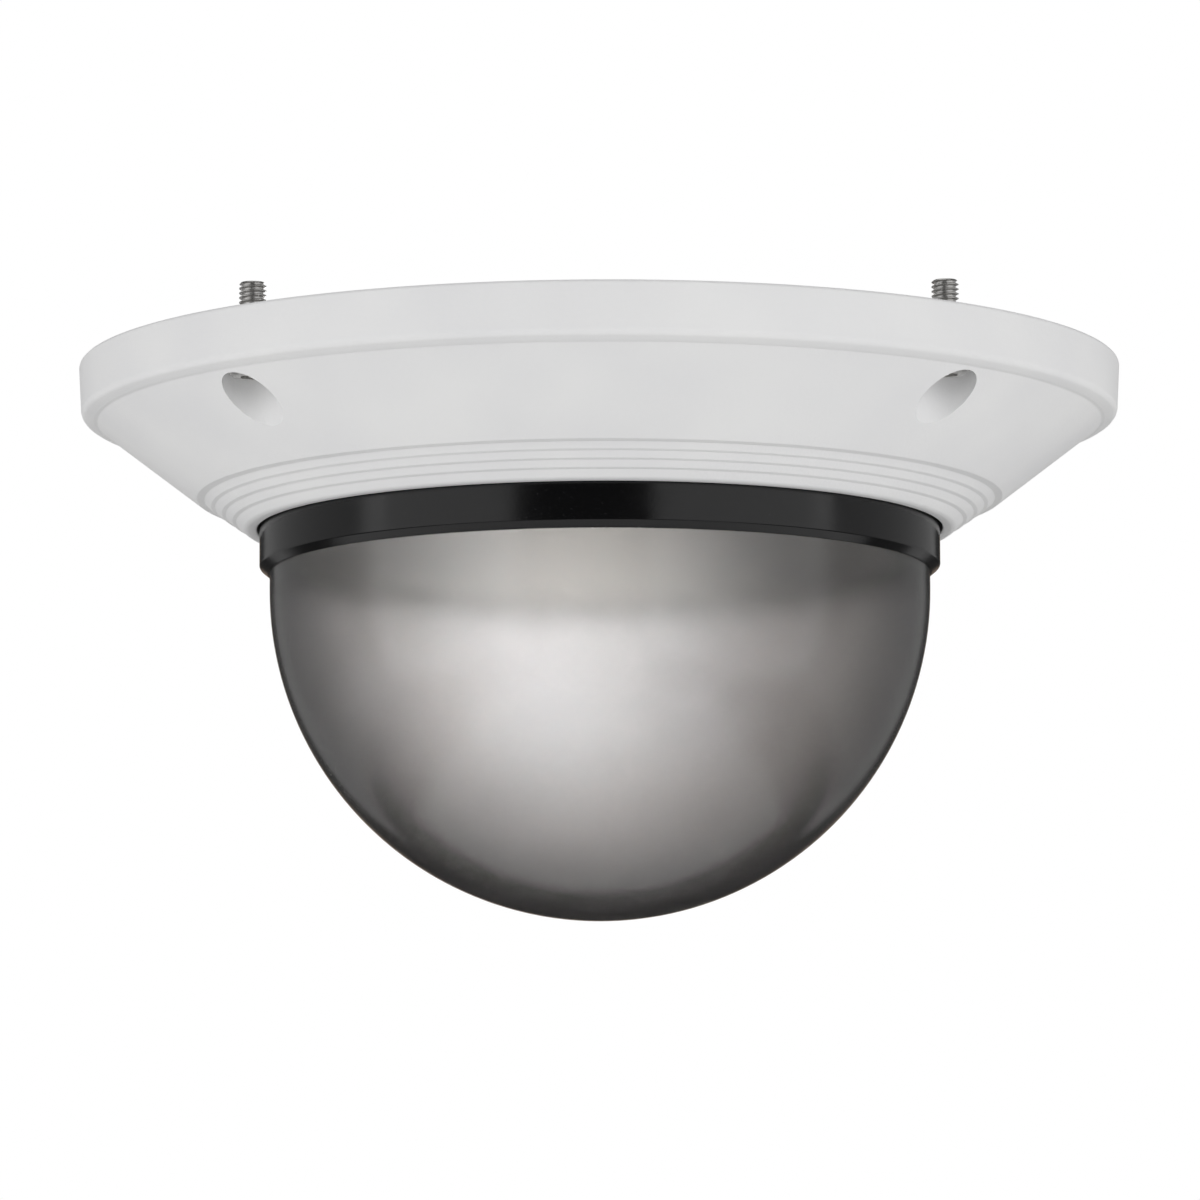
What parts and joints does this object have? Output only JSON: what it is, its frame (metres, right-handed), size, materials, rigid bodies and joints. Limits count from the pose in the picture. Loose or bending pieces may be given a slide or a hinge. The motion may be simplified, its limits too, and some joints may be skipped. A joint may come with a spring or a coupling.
{
  "type": "dome camera cover",
  "caption": "Smoked see-through dome in a flared white bezel with a black gasket ring and captive fixing screws; the removable cover of a ceiling dome camera.",
  "frame": {"origin": "centre of the rear (ceiling side) plane, where the bezel's rim meets the camera's base", "axes": "+Z into the ceiling along the dome's axis, the dome hangs towards -Z, -Y is the side the picture is taken from"},
  "size_m": [0.16, 0.16, 0.0898],
  "materials": {
    "powder_coat": "white powder coat over die-cast aluminium, fine orange peel",
    "smoked_polycarbonate": "polished, warm grey smoke tint",
    "gasket_rubber": "moulded, satin black",
    "retainer_plastic": "moulded, fine matt, light grey",
    "seal_rubber": "moulded, matt",
    "zinc_steel": "bright zinc plate",
    "stainless_steel": "rolled thread, plain stainless",
    "nylon": "natural, matt"
  },
  "bodies": {
    "cover": {"bezel": "powder_coat", "dome_bubble": "smoked_polycarbonate", "dome_gasket": "gasket_rubber", "retainer_ring": "retainer_plastic", "rear_seal": "seal_rubber", "clamp_screw_1": "zinc_steel", "clamp_screw_2": "zinc_steel", "clamp_screw_3": "zinc_steel", "clamp_screw_4": "zinc_steel", "clamp_screw_5": "zinc_steel", "clamp_screw_6": "zinc_steel", "retaining_washer_1": "nylon", "retaining_washer_2": "nylon", "retaining_washer_3": "nylon", "retaining_washer_4": "nylon"},
    "washer_1": {"sealing_washer_1": "seal_rubber"},
    "screw_1": {"captive_screw_1": "stainless_steel"},
    "washer_2": {"sealing_washer_2": "seal_rubber"},
    "screw_2": {"captive_screw_2": "stainless_steel"},
    "washer_3": {"sealing_washer_3": "seal_rubber"},
    "screw_3": {"captive_screw_3": "stainless_steel"},
    "washer_4": {"sealing_washer_4": "seal_rubber"},
    "screw_4": {"captive_screw_4": "stainless_steel"}
  },
  "joints": [
    {"name": "screw_1_lift", "type": "slide", "parent": "cover", "child": "washer_1", "axis": [0, 0, 1], "range_m": [-0.0031, 0]},
    {"name": "screw_1_turn", "type": "hinge", "parent": "washer_1", "child": "screw_1", "pos_m": [0.05091, 0.05091, 0], "axis": [0, 0, 1], "continuous": true},
    {"name": "screw_2_lift", "type": "slide", "parent": "cover", "child": "washer_2", "axis": [0, 0, 1], "range_m": [-0.0031, 0]},
    {"name": "screw_2_turn", "type": "hinge", "parent": "washer_2", "child": "screw_2", "pos_m": [-0.05091, 0.05091, 0], "axis": [0, 0, 1], "continuous": true},
    {"name": "screw_3_lift", "type": "slide", "parent": "cover", "child": "washer_3", "axis": [0, 0, 1], "range_m": [-0.0031, 0]},
    {"name": "screw_3_turn", "type": "hinge", "parent": "washer_3", "child": "screw_3", "pos_m": [-0.05091, -0.05091, 0], "axis": [0, 0, 1], "continuous": true},
    {"name": "screw_4_lift", "type": "slide", "parent": "cover", "child": "washer_4", "axis": [0, 0, 1], "range_m": [-0.0031, 0]},
    {"name": "screw_4_turn", "type": "hinge", "parent": "washer_4", "child": "screw_4", "pos_m": [0.05091, -0.05091, 0], "axis": [0, 0, 1], "continuous": true}
  ]
}
